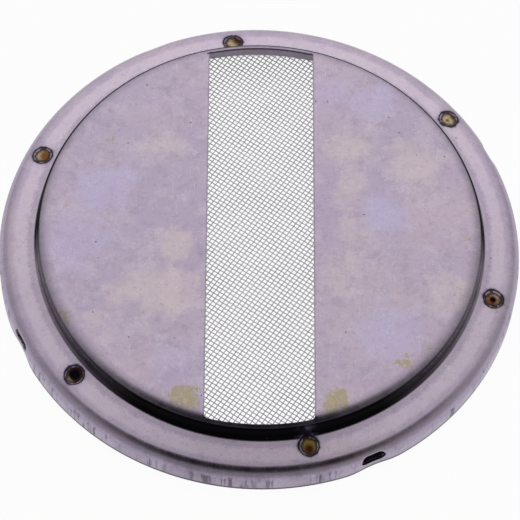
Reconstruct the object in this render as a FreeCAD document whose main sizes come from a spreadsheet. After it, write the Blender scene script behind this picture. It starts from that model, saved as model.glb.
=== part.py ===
import FreeCAD, Part
import math
import os
import Sketcher

# Oil strainer of a pump inlet, in millimetres. +Z is up, the bottom edge of the rim lies
# at z = 0 and the window runs along Y.
# A stamped sheet-steel cover has a raised pan with a window, a flange that falls slightly
# outwards, and a short rim with four lanced slots and snap nibs. A flat wire screen lies
# under the flange, and a flat ring below it is spot welded to the cover at six places.

doc = FreeCAD.newDocument("oil_strainer")

# Driving dimensions
SIZES = (
    ("outer_radius", "50"),
    ("sheet", "0.6"),
    ("flange_height", "6.35"),
    ("flange_slope", "10.5"),
    ("rim_bend_radius", "2.8"),
    ("rim_edge_radius", "0.25"),
    ("flange_width", "7.4"),
    ("pan_rise", "3.75"),
    ("pan_crown_radius", "5"),
    ("pan_crown_width", "2.9"),
    ("pan_edge_radius", "0.8"),
    ("pan_foot_radius", "0.8"),
    ("window_width", "20.3"),
    ("window_margin", "1.2"),
    ("slot_length", "4.9"),
    ("slot_height", "2.6"),
    ("slot_level", "3.1"),
    ("slot_azimuth", "25.4"),
    ("nib_depth", "0.5"),
    ("nib_radius", "30"),
    ("nib_fade_height", "3.8"),
    ("layer_clearance", "0.1"),
    ("screen_thickness", "0.5"),
    ("screen_rib", "0.9"),
    ("ring_width", "3.9"),
    ("ring_sheet", "0.9"),
    ("mark_radius", "2.05"),
    ("mark_floor_radius", "1.4"),
    ("mark_depth", "0.24"),
    ("nugget_radius", "1.1"),
    ("nugget_margin", "0.2"),
)

# Spot welds, placed by hand: azimuth from +X in degrees and distance in from the rim
WELDS = (
    ("far_left", "97", "4.4"),
    ("left", "156.7", "3.9"),
    ("near_left", "220.8", "4.5"),
    ("near", "281.9", "5.3"),
    ("right", "344.7", "4"),
    ("far_right", "37.3", "3.5"),
)
QUARTERS = (0, 90, 180, 270)
GAPS_ACROSS = 5
GAPS_ALONG = 21

# Sizes that follow from the driving dimensions, as formulas of the sheet
FOLLOWING = (
    ("pan_radius", "=outer_radius - flange_width"),
    ("window_end_radius", "=pan_radius - window_margin"),
    ("layer_lean", "=(rim_bend_radius - sheet) * sin(flange_slope * 1 deg)"),
    ("layer_radius", "=outer_radius - rim_bend_radius + layer_lean"),
    ("ring_inner_radius", "=layer_radius - ring_width"),
    ("screen_top", "=sheet + layer_clearance"),
    ("screen_bottom", "=screen_top + screen_thickness"),
    ("ring_top", "=screen_bottom + layer_clearance"),
    ("ring_bottom", "=ring_top + ring_sheet"),
)

sheet = doc.addObject("Spreadsheet::Sheet", "sizes")
rows = list(SIZES) + list(FOLLOWING)
for name, azimuth, inset in WELDS:
    rows.append(("azimuth_" + name, azimuth))
    rows.append(("distance_" + name, "=outer_radius - " + inset))
for row, (name, text) in enumerate(rows, 1):
    sheet.set("A%d" % row, name)
    sheet.set("B%d" % row, text)
    sheet.setAlias("B%d" % row, name)
doc.recompute()
size = {name: float(sheet.get(name)) for name, text in rows}

# Angles of the flange and of the pressed-in nibs, in expression words
SLOPE = "(sizes.flange_slope * 1 deg)"
NIB_TILT = "atan(sizes.nib_depth / sizes.nib_fade_height)"


def layer_height(radius, depth):
    """Height, at a radius, of a layer lying a depth under the flange's outer face."""
    fall = "(%s - sizes.pan_radius) * tan%s" % (radius, SLOPE)
    return "sizes.flange_height - %s - %s / cos%s" % (fall, depth, SLOPE)


def origin_item(body, role):
    """The body's own origin plane or axis of that role."""
    return next(item for item in body.Origin.OriginFeatures if item.Role == role)


def new_sketch(body, name, role):
    """An empty sketch lying on one of the body's origin planes."""
    sketch = body.newObject("Sketcher::SketchObject", name)
    sketch.AttachmentSupport = [(origin_item(body, role), "")]
    sketch.MapMode = "FlatFace"
    return sketch


def arc(x, y, radius, start, end):
    """A circular arc by its centre, radius and the two angles in degrees."""
    circle = Part.Circle(FreeCAD.Vector(x, y, 0), FreeCAD.Vector(0, 0, 1), radius)
    return Part.ArcOfCircle(circle, math.radians(start), math.radians(end))


def line(x1, y1, x2, y2):
    """A straight line between two points of the sketch plane."""
    return Part.LineSegment(FreeCAD.Vector(x1, y1, 0), FreeCAD.Vector(x2, y2, 0))


def bind(sketch, name, kind, where, start, expression):
    """Adds a named dimension to the sketch and binds it to the spreadsheet."""
    index = sketch.addConstraint(Sketcher.Constraint(kind, *where, start))
    sketch.renameConstraint(index, name)
    sketch.setExpression("Constraints." + name, expression)


def hat_section(body, name, inner):
    """Half section of the cover's outer face, or of its inner face one sheet inside it."""
    sketch = new_sketch(body, name, "XZ_Plane")
    depth = size["sheet"] if inner else 0.0
    less = " - sizes.sheet" if inner else ""
    more = " + sizes.sheet" if inner else ""
    slope = math.radians(size["flange_slope"])
    rim = size["outer_radius"] - depth
    bend = size["rim_bend_radius"] - depth
    foot = size["pan_foot_radius"] + depth
    wall = size["pan_radius"] - depth
    edge = size["pan_edge_radius"] - depth
    crown = size["pan_crown_radius"] - depth
    crown_x = size["pan_radius"] - size["pan_crown_width"]
    top = size["flange_height"] + size["pan_rise"] - depth
    corner = size["flange_height"] + depth * (math.tan(slope) - 1 / math.cos(slope))
    bend_y = corner - (rim - bend - wall) * math.tan(slope) - bend / math.cos(slope)
    foot_y = corner - foot * math.tan(slope) + foot / math.cos(slope)
    bend_end = (rim - bend + bend * math.sin(slope), bend_y + bend * math.cos(slope))
    foot_end = (wall + foot - foot * math.sin(slope), foot_y - foot * math.cos(slope))
    tilt = size["flange_slope"]
    meeting = math.acos((wall - edge - crown_x) / (crown - edge))
    edge_y = top - crown + (crown - edge) * math.sin(meeting)
    meeting = math.degrees(meeting)

    # 0 rim, 1 bend, 2 flange, 3 foot, 4 wall, 5 pan edge, 6 crown, 7 pan top, 8 axis, 9 bottom
    lip = 0.0 if inner else size["rim_edge_radius"]
    sketch.addGeometry(line(rim, lip, rim, bend_y))
    sketch.addGeometry(arc(rim - bend, bend_y, bend, 0, 90 - tilt))
    sketch.addGeometry(line(*bend_end, *foot_end))
    sketch.addGeometry(arc(wall + foot, foot_y, foot, 180, 270 - tilt))
    sketch.addGeometry(line(wall, foot_y, wall, edge_y))
    sketch.addGeometry(arc(wall - edge, edge_y, edge, 0, meeting))
    sketch.addGeometry(arc(crown_x, top - crown, crown, meeting, 90))
    sketch.addGeometry(line(crown_x, top, 0, top))
    sketch.addGeometry(line(0, top, 0, 0))
    sketch.addGeometry(line(0, 0, rim - lip, 0))
    for first, end, second, start in (
        (0, 2, 1, 1), (1, 2, 2, 1), (2, 2, 3, 2), (3, 1, 4, 1), (4, 2, 5, 1), (5, 2, 6, 1),
        (6, 2, 7, 1),
    ):
        sketch.addConstraint(Sketcher.Constraint("Tangent", first, end, second, start))
    sketch.addConstraint(Sketcher.Constraint("Coincident", 7, 2, 8, 1))
    sketch.addConstraint(Sketcher.Constraint("Coincident", 8, 2, 9, 1))
    sketch.addConstraint(Sketcher.Constraint("Coincident", 8, 2, -1, 1))
    for upright in (0, 4, 8):
        sketch.addConstraint(Sketcher.Constraint("Vertical", upright))
    for level in (7, 9):
        sketch.addConstraint(Sketcher.Constraint("Horizontal", level))
    if inner:
        sketch.addConstraint(Sketcher.Constraint("Coincident", 9, 2, 0, 1))
    else:
        sketch.addGeometry(arc(rim - lip, lip, lip, 270, 360))
        sketch.addConstraint(Sketcher.Constraint("Tangent", 9, 2, 10, 1))
        sketch.addConstraint(Sketcher.Constraint("Tangent", 10, 2, 0, 1))
        bind(sketch, "rim_edge", "Radius", (10,), lip, "sizes.rim_edge_radius")
    # The flange is placed by the corner that it would make with the pan's wall
    corner_point = sketch.addGeometry(Part.Point(FreeCAD.Vector(wall, corner, 0)), True)
    sketch.addConstraint(Sketcher.Constraint("PointOnObject", corner_point, 1, 2))
    sketch.addConstraint(Sketcher.Constraint("PointOnObject", corner_point, 1, 4))
    drop = " + sizes.sheet * (tan%s - 1 / cos%s)" % (SLOPE, SLOPE) if inner else ""
    bind(sketch, "rim", "DistanceX", (-1, 1, 0, 1), rim, "sizes.outer_radius" + less)
    bind(sketch, "bend", "Radius", (1,), bend, "sizes.rim_bend_radius" + less)
    bind(sketch, "tilt", "Angle", (2,), math.pi - slope, "180 deg - " + SLOPE)
    bind(sketch, "foot", "Radius", (3,), foot, "sizes.pan_foot_radius" + more)
    bind(sketch, "wall", "DistanceX", (-1, 1, 4, 1), wall, "sizes.pan_radius" + less)
    bind(sketch, "edge", "Radius", (5,), edge, "sizes.pan_edge_radius" + less)
    bind(sketch, "crown", "Radius", (6,), crown, "sizes.pan_crown_radius" + less)
    crown_start = "sizes.pan_radius - sizes.pan_crown_width"
    bind(sketch, "crown_start", "DistanceX", (-1, 1, 6, 3), crown_x, crown_start)
    rise = "sizes.flange_height + sizes.pan_rise" + less
    bind(sketch, "top", "DistanceY", (-1, 1, 7, 1), top, rise)
    fall = "sizes.flange_height" + drop
    bind(sketch, "corner", "DistanceY", (-1, 1, corner_point, 1), corner, fall)
    return sketch


def layer_section(body, name, corners):
    """Closed section of a layer by (radius, height) expressions, an empty radius at the axis."""
    sketch = new_sketch(body, name, "XZ_Plane")
    points = [(sheet_value(across) if across else 0.0, sheet_value(up)) for across, up in corners]
    for i, here in enumerate(points):
        sketch.addGeometry(line(*here, *points[(i + 1) % len(points)]))
    for i in range(len(points)):
        sketch.addConstraint(Sketcher.Constraint("Coincident", i, 2, (i + 1) % len(points), 1))
    for i, (across, up) in enumerate(corners):
        if across:
            bind(sketch, "across_%d" % i, "DistanceX", (-1, 1, i, 1), points[i][0], across)
        else:
            sketch.addConstraint(Sketcher.Constraint("PointOnObject", i, 1, -2))
        bind(sketch, "up_%d" % i, "DistanceY", (-1, 1, i, 1), points[i][1], up)
    return sketch


def sheet_value(expression):
    """Present value of an expression in spreadsheet words."""
    result = sheet.evalExpression(expression)
    return float(getattr(result, "Value", result))


def revolve(body, kind, name, sketch):
    """Turns a section fully round the body's upright axis."""
    feature = body.newObject("PartDesign::" + kind, name)
    feature.Profile = sketch
    feature.ReferenceAxis = (sketch, ["V_Axis"])
    feature.Angle = 360
    return feature


def turned(radius, height, azimuth, tilt):
    """Placement at a radius, height and azimuth, its own Z leaning outwards by a tilt."""
    along_x = "(%s) * cos((%s) * 1 deg)" % (radius, azimuth)
    along_y = "(%s) * sin((%s) * 1 deg)" % (radius, azimuth)
    turn = "rotation(%s; %s; 0)" % (azimuth, tilt)
    return "placement(vector(%s; %s; %s); %s)" % (along_x, along_y, height, turn)


def cylinder(name, radius, height, placement):
    """A bound cylinder."""
    solid = doc.addObject("Part::Cylinder", name)
    solid.setExpression("Radius", radius)
    solid.setExpression("Height", height)
    solid.setExpression("Placement", placement)
    return solid


def gather(name, shapes):
    """One object out of several solids."""
    fusion = doc.addObject("Part::MultiFuse", name)
    fusion.Shapes = shapes
    return fusion


def cut(name, base, tool):
    """One object less another."""
    result = doc.addObject("Part::Cut", name)
    result.Base = base
    result.Tool = tool
    return result


# Cover sheet: outer face turned solid, inner face turned out of it, then the window
cover = doc.addObject("PartDesign::Body", "cover_sheet")
revolve(cover, "Revolution", "outer_form", hat_section(cover, "outer_section", False))
inside = revolve(cover, "Groove", "inner_form", hat_section(cover, "inner_section", True))
half = size["window_width"] / 2
end = size["window_end_radius"]
shoulder = math.sqrt(end ** 2 - half ** 2)
lean = math.degrees(math.atan2(shoulder, half))
window = new_sketch(cover, "window_outline", "XY_Plane")
window.addGeometry(line(half, -shoulder, half, shoulder))
window.addGeometry(arc(0, 0, end, lean, 180 - lean))
window.addGeometry(line(-half, shoulder, -half, -shoulder))
window.addGeometry(arc(0, 0, end, 180 + lean, 360 - lean))
for first, finish, second, start in ((0, 2, 1, 1), (1, 2, 2, 1), (2, 2, 3, 1), (3, 2, 0, 1)):
    window.addConstraint(Sketcher.Constraint("Coincident", first, finish, second, start))
window.addConstraint(Sketcher.Constraint("Coincident", 1, 3, -1, 1))
window.addConstraint(Sketcher.Constraint("Coincident", 3, 3, -1, 1))
window.addConstraint(Sketcher.Constraint("Equal", 1, 3))
window.addConstraint(Sketcher.Constraint("Vertical", 0))
window.addConstraint(Sketcher.Constraint("Vertical", 2))
bind(window, "end", "Radius", (1,), end, "sizes.window_end_radius")
bind(window, "right", "DistanceX", (-1, 1, 0, 1), half, "sizes.window_width / 2")
bind(window, "left", "DistanceX", (2, 1, -1, 1), half, "sizes.window_width / 2")
opening = cover.newObject("PartDesign::Pocket", "window")
opening.Profile = window
opening.Type = "ThroughAll"
opening.Reversed = True

# Lanced slots: one rounded bar through the rim, repeated round the axis
lance = doc.addObject("PartDesign::Body", "slot_tool")
bar = new_sketch(lance, "slot_outline", "YZ_Plane")
reach = (size["slot_length"] - size["slot_height"]) / 2
blunt = size["slot_height"] / 2
level = size["slot_level"]
bar.addGeometry(line(-reach, level - blunt, reach, level - blunt))
bar.addGeometry(arc(reach, level, blunt, -90, 90))
bar.addGeometry(line(reach, level + blunt, -reach, level + blunt))
bar.addGeometry(arc(-reach, level, blunt, 90, 270))
for first, finish, second, start in ((0, 2, 1, 1), (1, 2, 2, 1), (2, 2, 3, 1), (3, 2, 0, 1)):
    bar.addConstraint(Sketcher.Constraint("Tangent", first, finish, second, start))
bar.addConstraint(Sketcher.Constraint("Horizontal", 0))
bar.addConstraint(Sketcher.Constraint("Symmetric", 1, 3, 3, 3, -2))
bind(bar, "blunt", "Radius", (1,), blunt, "sizes.slot_height / 2")
bind(bar, "length", "DistanceX", (3, 3, 1, 3), 2 * reach, "sizes.slot_length - sizes.slot_height")
bind(bar, "level", "DistanceY", (-1, 1, 1, 3), level, "sizes.slot_level")
bar.setExpression("AttachmentOffset.Base.z", "sizes.outer_radius - 2 * sizes.rim_bend_radius")
blade = lance.newObject("PartDesign::Pad", "slot_blade")
blade.Profile = bar
blade.setExpression("Length", "3 * sizes.rim_bend_radius")
blades = lance.newObject("PartDesign::PolarPattern", "slot_blades")
blades.Originals = [blade]
blades.Axis = (origin_item(lance, "Z_Axis"), [""])
blades.Angle = 360
blades.Occurrences = len(QUARTERS)
lance.Tip = blades
lance.setExpression("Placement", "placement(vector(0; 0; 0); rotation(sizes.slot_azimuth; 0; 0))")

# Snap nibs: under each slot the rim is pressed inwards, most at its bottom edge
depth_below = 5
scoops = []
bulges = []
for quarter in QUARTERS:
    azimuth = "sizes.slot_azimuth + %d" % quarter
    axis_radius = (
        "sizes.outer_radius - sizes.nib_depth + sizes.nib_radius / cos(%s)"
        " - %d * sizes.nib_depth / sizes.nib_fade_height" % (NIB_TILT, depth_below)
    )
    stand = turned(axis_radius, "-%d" % depth_below, azimuth, NIB_TILT)
    height = "%d + 2 * sizes.nib_fade_height" % depth_below
    bulge_radius = "sizes.nib_radius + sizes.sheet"
    scoops.append(cylinder("nib_scoop_%d" % quarter, "sizes.nib_radius", height, stand))
    bulges.append(cylinder("nib_bulge_%d" % quarter, bulge_radius, height, stand))
centred = "placement(vector(0; 0; 0); rotation(0; 0; 0))"
outside = "sizes.outer_radius - sizes.sheet / 2"
band_outside = cylinder("nib_band_outside", outside, "sizes.nib_fade_height", centred)
inside_nibs = "sizes.outer_radius - 2 * (sizes.sheet + sizes.nib_depth)"
band_inside = cylinder("nib_band_inside", inside_nibs, "sizes.nib_fade_height", centred)
band = cut("nib_band", band_outside, band_inside)
nibs = doc.addObject("Part::MultiCommon", "nibs")
nibs.Shapes = [gather("nib_bulges", bulges), band]

# Electrode marks: shallow flat-bottomed dents square to the flange
marks = []
nugget_list = []
clearings = []
for name, _, _ in WELDS:
    azimuth = "sizes.azimuth_" + name
    distance = "sizes.distance_" + name
    face = layer_height(distance, "0")
    dent = doc.addObject("Part::Cone", "mark_" + name)
    dent.setExpression("Radius1", "sizes.mark_floor_radius")
    dent.setExpression("Radius2", "sizes.mark_radius")
    dent.setExpression("Height", "sizes.mark_depth")
    floor_distance = "%s - sizes.mark_depth * sin%s" % (distance, SLOPE)
    floor_height = "%s - sizes.mark_depth * cos%s" % (face, SLOPE)
    floor = turned(floor_distance, floor_height, azimuth, "sizes.flange_slope")
    dent.setExpression("Placement", floor)
    mouth = turned(distance, face, azimuth, "sizes.flange_slope")
    marks.append(dent)
    marks.append(cylinder("mark_mouth_" + name, "sizes.mark_radius", "sizes.sheet", mouth))
    # Each nugget keeps clear of both edges of the ring
    inner_limit = "sizes.ring_inner_radius + sizes.nugget_radius + sizes.nugget_margin"
    outer_limit = "sizes.layer_radius - sizes.nugget_radius - sizes.nugget_margin"
    seat = "min(max(%s; %s); %s)" % (distance, inner_limit, outer_limit)
    stand = turned(seat, layer_height(seat, "sizes.ring_top"), azimuth, "sizes.flange_slope")
    tall = "sizes.ring_top - sizes.sheet - sizes.layer_clearance / 10"
    room = "sizes.nugget_radius + sizes.layer_clearance"
    nugget_list.append(cylinder("nugget_" + name, "sizes.nugget_radius", tall, stand))
    clearings.append(cylinder("clearing_" + name, room, tall, stand))

pressed = gather("pressed_cover", [cover, nibs])
strainer_cover = cut("cover_part", pressed, gather("cover_tools", scoops + [lance] + marks))
strainer_cover.Label = "strainer_cover"

# Wire screen: flat under the pan, its rim following the flange, with gaps under the window
screen = doc.addObject("PartDesign::Body", "screen_sheet")
ring_inner = "sizes.ring_inner_radius"
layer_edge = "sizes.layer_radius"
screen_section = layer_section(screen, "screen_section", (
    ("", layer_height(ring_inner, "sizes.screen_top")),
    (ring_inner, layer_height(ring_inner, "sizes.screen_top")),
    (layer_edge, layer_height(layer_edge, "sizes.screen_top")),
    (layer_edge, layer_height(layer_edge, "sizes.screen_bottom")),
    (ring_inner, layer_height(ring_inner, "sizes.screen_bottom")),
    ("", layer_height(ring_inner, "sizes.screen_bottom")),
))
revolve(screen, "Revolution", "screen_form", screen_section)
length = "(2 * sqrt(sizes.window_end_radius ^ 2 - sizes.window_width ^ 2 / 4))"
ribs_across = "%d * sizes.screen_rib" % (GAPS_ACROSS - 1)
ribs_along = "%d * sizes.screen_rib" % (GAPS_ALONG - 1)
gap_across = "((sizes.window_width - %s) / %d)" % (ribs_across, GAPS_ACROSS)
gap_along = "((%s - %s) / %d)" % (length, ribs_along, GAPS_ALONG)
wide = sheet_value(gap_across)
long = sheet_value(gap_along)
low = -sheet_value(length) / 2
gap = new_sketch(screen, "gap_outline", "XY_Plane")
gap.addGeometry(line(-half, low, -half + wide, low))
gap.addGeometry(line(-half + wide, low, -half + wide, low + long))
gap.addGeometry(line(-half + wide, low + long, -half, low + long))
gap.addGeometry(line(-half, low + long, -half, low))
for side in range(4):
    gap.addConstraint(Sketcher.Constraint("Coincident", side, 2, (side + 1) % 4, 1))
for side in (0, 2):
    gap.addConstraint(Sketcher.Constraint("Horizontal", side))
    gap.addConstraint(Sketcher.Constraint("Vertical", side + 1))
bind(gap, "wide", "DistanceX", (0, 1, 0, 2), wide, gap_across)
bind(gap, "long", "DistanceY", (1, 1, 1, 2), long, gap_along)
bind(gap, "left", "DistanceX", (0, 1, -1, 1), half, "sizes.window_width / 2")
bind(gap, "near", "DistanceY", (0, 1, -1, 1), -low, length + " / 2")
gap_cut = screen.newObject("PartDesign::Pocket", "first_gap")
gap_cut.Profile = gap
gap_cut.Type = "ThroughAll"
gap_cut.Reversed = True
grid = screen.newObject("PartDesign::MultiTransform", "gaps")
across = screen.newObject("PartDesign::LinearPattern", "gaps_across")
across.Direction = (origin_item(screen, "X_Axis"), [""])
across.Occurrences = GAPS_ACROSS
across.setExpression("Length", "sizes.window_width - " + gap_across)
along = screen.newObject("PartDesign::LinearPattern", "gaps_along")
along.Direction = (origin_item(screen, "Y_Axis"), [""])
along.Occurrences = GAPS_ALONG
along.setExpression("Length", "%s - %s" % (length, gap_along))
grid.Originals = [gap_cut]
grid.Transformations = [across, along]
screen.Tip = grid
wire_screen = cut("screen_part", screen, gather("clearings", clearings))
wire_screen.Label = "wire_screen"

# Clamping ring under the rim of the screen
ring = doc.addObject("PartDesign::Body", "ring_blank")
ring_section = layer_section(ring, "ring_section", (
    (ring_inner, layer_height(ring_inner, "sizes.ring_top")),
    (layer_edge, layer_height(layer_edge, "sizes.ring_top")),
    (layer_edge, layer_height(layer_edge, "sizes.ring_bottom")),
    (ring_inner, layer_height(ring_inner, "sizes.ring_bottom")),
))
revolve(ring, "Revolution", "ring_form", ring_section)
ring.Label = "clamping_ring"

# Weld nuggets that join the ring to the cover through the screen
nuggets = gather("nugget_set", nugget_list)
nuggets.Label = "weld_nuggets"

doc.recompute()

assert inside.Shape.Volume > opening.Shape.Volume + 1, "the window cuts nothing"
assert strainer_cover.Shape.Volume < pressed.Shape.Volume, "the slots and marks cut nothing"
for item in doc.Objects:
    if "Invalid" in item.State or "Error" in item.State:
        raise RuntimeError("%s: %s" % (item.Label, item.State))
os.makedirs("parts", exist_ok=True)
for node, solids in ((strainer_cover, 1), (wire_screen, 1), (ring, 1), (nuggets, len(WELDS))):
    shape = node.Shape
    if shape.isNull() or not shape.isValid() or len(shape.Solids) != solids:
        raise RuntimeError("%s: shape is not %d sound solids" % (node.Label, solids))
    shape.exportStep("parts/%s.step" % node.Label)
    print("%s: %.1f mm3, %d faces" % (node.Label, shape.Volume, len(shape.Faces)))
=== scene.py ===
# %% [markdown]
# # A stamped oil strainer with a woven wire screen
#
# The real object sits over the inlet of an oil pump. A round cover is pressed from one
# sheet of steel: a raised pan with a long window, a flange that falls a little outwards and
# a short rim that snaps over the housing. Under the pan lies woven wire cloth, held by a
# flat ring that is spot welded through the flange at six places.
#
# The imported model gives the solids, their places and their sizes. Here the cover gets soft
# edges and a finish, the cloth gets real crossing wires, and all of it gets a small studio.

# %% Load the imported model
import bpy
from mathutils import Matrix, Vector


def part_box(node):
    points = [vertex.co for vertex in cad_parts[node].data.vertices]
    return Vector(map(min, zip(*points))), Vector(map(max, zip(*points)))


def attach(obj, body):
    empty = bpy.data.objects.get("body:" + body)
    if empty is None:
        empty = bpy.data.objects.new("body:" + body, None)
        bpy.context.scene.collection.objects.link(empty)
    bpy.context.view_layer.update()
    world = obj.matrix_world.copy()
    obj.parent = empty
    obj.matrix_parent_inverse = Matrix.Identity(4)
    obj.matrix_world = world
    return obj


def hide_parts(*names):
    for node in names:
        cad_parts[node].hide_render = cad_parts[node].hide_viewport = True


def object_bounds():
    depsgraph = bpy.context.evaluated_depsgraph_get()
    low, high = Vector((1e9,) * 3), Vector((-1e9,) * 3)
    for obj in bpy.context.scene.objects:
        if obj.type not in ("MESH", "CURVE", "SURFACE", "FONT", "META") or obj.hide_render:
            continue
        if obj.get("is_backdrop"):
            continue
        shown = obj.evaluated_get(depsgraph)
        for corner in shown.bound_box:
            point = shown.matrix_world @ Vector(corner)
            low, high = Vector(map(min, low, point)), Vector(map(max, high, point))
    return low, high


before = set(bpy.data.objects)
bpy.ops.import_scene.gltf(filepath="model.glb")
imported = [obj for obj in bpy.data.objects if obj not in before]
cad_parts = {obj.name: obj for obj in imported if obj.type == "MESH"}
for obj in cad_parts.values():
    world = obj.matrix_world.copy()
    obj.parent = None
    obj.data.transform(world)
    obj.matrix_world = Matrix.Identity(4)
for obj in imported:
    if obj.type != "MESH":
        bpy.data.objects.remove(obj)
cad_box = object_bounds()
print("packed nodes:", sorted(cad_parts))

# %% Units and the sizes that several pieces share
import math

import bpy
from mathutils import Matrix, Vector

MM = 0.001
MERGE_GAP = 0.01
RIM_RADIUS = 50.0
SHEET = 0.6
FLANGE_HEIGHT = 6.35
FLANGE_SLOPE = math.radians(10.5)
PAN_RADIUS = 42.6
PAN_TOP = 10.1
slope_run = math.tan(FLANGE_SLOPE)
low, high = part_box("strainer_cover")
print("cover, mm:", [round(side / MM, 2) for side in high - low])

# %% [markdown]
# ## Small tools for modelling
#
# An edit-mode operator acts on whatever is selected. So every step first says, by place,
# which vertices, edges or faces it means, and nothing else stays selected.


# %% Start a piece, pick parts of it, finish it
def start():
    """Leaves edit mode and deselects everything, so that a new primitive stands alone."""
    if bpy.context.mode != "OBJECT":
        bpy.ops.object.mode_set(mode="OBJECT")
    bpy.ops.object.select_all(action="DESELECT")


def pick(piece, what, test):
    """Selects the vertices, edges or polygons of a piece that pass a test, in edit mode."""
    bpy.ops.object.mode_set(mode="OBJECT")
    mesh = piece.data
    for parts in (mesh.vertices, mesh.edges, mesh.polygons):
        parts.foreach_set("select", [False] * len(parts))
    for part in getattr(mesh, what):
        part.select = test(part)
    modes = (what == "vertices", what == "edges", what == "polygons")
    bpy.context.tool_settings.mesh_select_mode = modes
    bpy.ops.object.mode_set(mode="EDIT")


def apply_all(piece):
    """Applies the modifiers of a piece in their order."""
    start()
    bpy.context.view_layer.objects.active = piece
    piece.select_set(True)
    for modifier in list(piece.modifiers):
        bpy.ops.object.modifier_apply(modifier=modifier.name)


def report(piece):
    """Prints how large a piece is and how many faces it has."""
    sides = [round(side / MM, 2) for side in piece.dimensions]
    print(piece.name, "mm:", sides, "faces:", len(piece.data.polygons))


print("modelling tools: start, pick, apply_all, report")

# %% [markdown]
# ## The cover's half section
#
# A stamped round part is easiest to draw as a press tool maker draws it: half a section,
# made of straight runs and true arcs, turned once round the axis. A single vertex is
# extruded for each straight run and spun for each arc, so the bend radii are exact. The
# pan's shoulder is a wide soft arc that ends in a tight one, as a flat-nosed punch leaves it.

# %% Work out where the arcs meet
CROWN_RADIUS = 5.0
CROWN_WIDTH = 2.9
PAN_EDGE = 0.8
PAN_FOOT = 0.8
RIM_BEND = 2.8
crown_x = PAN_RADIUS - CROWN_WIDTH
edge_x = PAN_RADIUS - PAN_EDGE
crown_turn = math.asin((edge_x - crown_x) / (CROWN_RADIUS - PAN_EDGE))
edge_z = PAN_TOP - CROWN_RADIUS + (CROWN_RADIUS - PAN_EDGE) * math.cos(crown_turn)
foot_x = PAN_RADIUS + PAN_FOOT
foot_z = FLANGE_HEIGHT - PAN_FOOT * slope_run + PAN_FOOT / math.cos(FLANGE_SLOPE)
bend_x = RIM_RADIUS - RIM_BEND
bend_z = (
    FLANGE_HEIGHT - (bend_x - PAN_RADIUS) * slope_run - RIM_BEND / math.cos(FLANGE_SLOPE)
)
flange_turn = math.pi / 2 - FLANGE_SLOPE
for arc, height in (("edge", edge_z), ("foot", foot_z), ("bend", bend_z)):
    print(arc, "arc has its centre at z, mm:", round(height, 2))

# %% One vertex to draw with
start()
bpy.ops.mesh.primitive_plane_add(size=MM, location=(0, 0, PAN_TOP * MM))
cover = bpy.context.object
cover.name = "pressed_cover"
bpy.ops.object.transform_apply(location=True, rotation=False, scale=False)
bpy.ops.object.mode_set(mode="EDIT")
bpy.ops.mesh.select_all(action="SELECT")
bpy.ops.mesh.merge(type="CENTER")
pen = Vector((0, 0, PAN_TOP))
print("the pen starts at", list(pen))


# %% Straight runs and arcs
def run_to(x, z, parts):
    """Extrudes the pen in a straight run of that many equal parts."""
    step = (Vector((x, 0, z)) - pen) / parts
    for _ in range(parts):
        bpy.ops.mesh.extrude_region_move(TRANSFORM_OT_translate={"value": step * MM})
    pen.xz = (x, z)


def arc_round(x, z, turn, steps):
    """Spins the pen round a centre of the section plane; spin counts its angle clockwise."""
    centre = Vector((x, 0, z))
    bpy.ops.mesh.spin(steps=steps, angle=-turn, center=centre * MM, axis=(0, 1, 0))
    pen.xz = (centre + Matrix.Rotation(turn, 3, "Y") @ (pen - centre)).xz


print("drawing tools: run_to, arc_round")

# %% Draw the section from the middle of the pan to the bottom of the rim
run_to(crown_x, PAN_TOP, parts=4)
arc_round(crown_x, PAN_TOP - CROWN_RADIUS, crown_turn, steps=6)
arc_round(edge_x, edge_z, math.pi / 2 - crown_turn, steps=6)
run_to(PAN_RADIUS, foot_z, parts=2)
arc_round(foot_x, foot_z, -flange_turn, steps=6)
bend_start = Matrix.Rotation(-flange_turn, 3, "Y") @ Vector((RIM_BEND, 0, 0))
run_to(bend_x + bend_start.x, bend_z + bend_start.z, parts=6)
arc_round(bend_x, bend_z, flange_turn, steps=11)
run_to(RIM_RADIUS, 0, parts=5)
print("section ends at", [round(value, 3) for value in pen])

# %% Turn the section round the axis
TURN_STEPS = 240
bpy.ops.mesh.select_all(action="SELECT")
bpy.ops.mesh.spin(steps=TURN_STEPS, angle=2 * math.pi, center=(0, 0, 0), axis=(0, 0, 1))
bpy.ops.mesh.select_all(action="SELECT")
bpy.ops.mesh.remove_doubles(threshold=MERGE_GAP * MM)
bpy.ops.mesh.normals_make_consistent(inside=False)
bpy.ops.object.mode_set(mode="OBJECT")
report(cover)

# %% [markdown]
# ## Snap nibs
#
# Under each lanced slot the rim is pressed in a little, so that it springs over a bead on
# the housing. One vertex of the bottom edge is moved inwards with proportional editing, and
# its neighbours follow in a soft dent, as the sheet does under a blunt punch.

# %% Press the rim in at four places
SLOT_AZIMUTH = 25.4
NIB_DEPTH = 0.5
NIB_REACH = 5.4
NIB_TIP = 0.7
for quarter in range(4):
    azimuth = math.radians(SLOT_AZIMUTH + 90 * quarter)
    out = Vector((math.cos(azimuth), math.sin(azimuth), 0))
    tip = out * RIM_RADIUS * MM
    pick(cover, "vertices", lambda v: (v.co - tip).length < NIB_TIP * MM)
    bpy.ops.transform.translate(
        value=out * -NIB_DEPTH * MM, use_proportional_edit=True,
        proportional_edit_falloff="SMOOTH", proportional_size=NIB_REACH * MM,
    )
bpy.ops.object.mode_set(mode="OBJECT")
bottom = [v.co for v in cover.data.vertices if v.co.z < MERGE_GAP * MM]
print("rim at its innermost, mm:", round(min(co.xy.length for co in bottom) / MM, 2))

# %% [markdown]
# ## Sheet thickness
#
# A solidify modifier gives the skin the thickness of the sheet, inwards only, because the
# outside is what was measured. Even offset keeps the wall equally thick round the bends.

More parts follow.
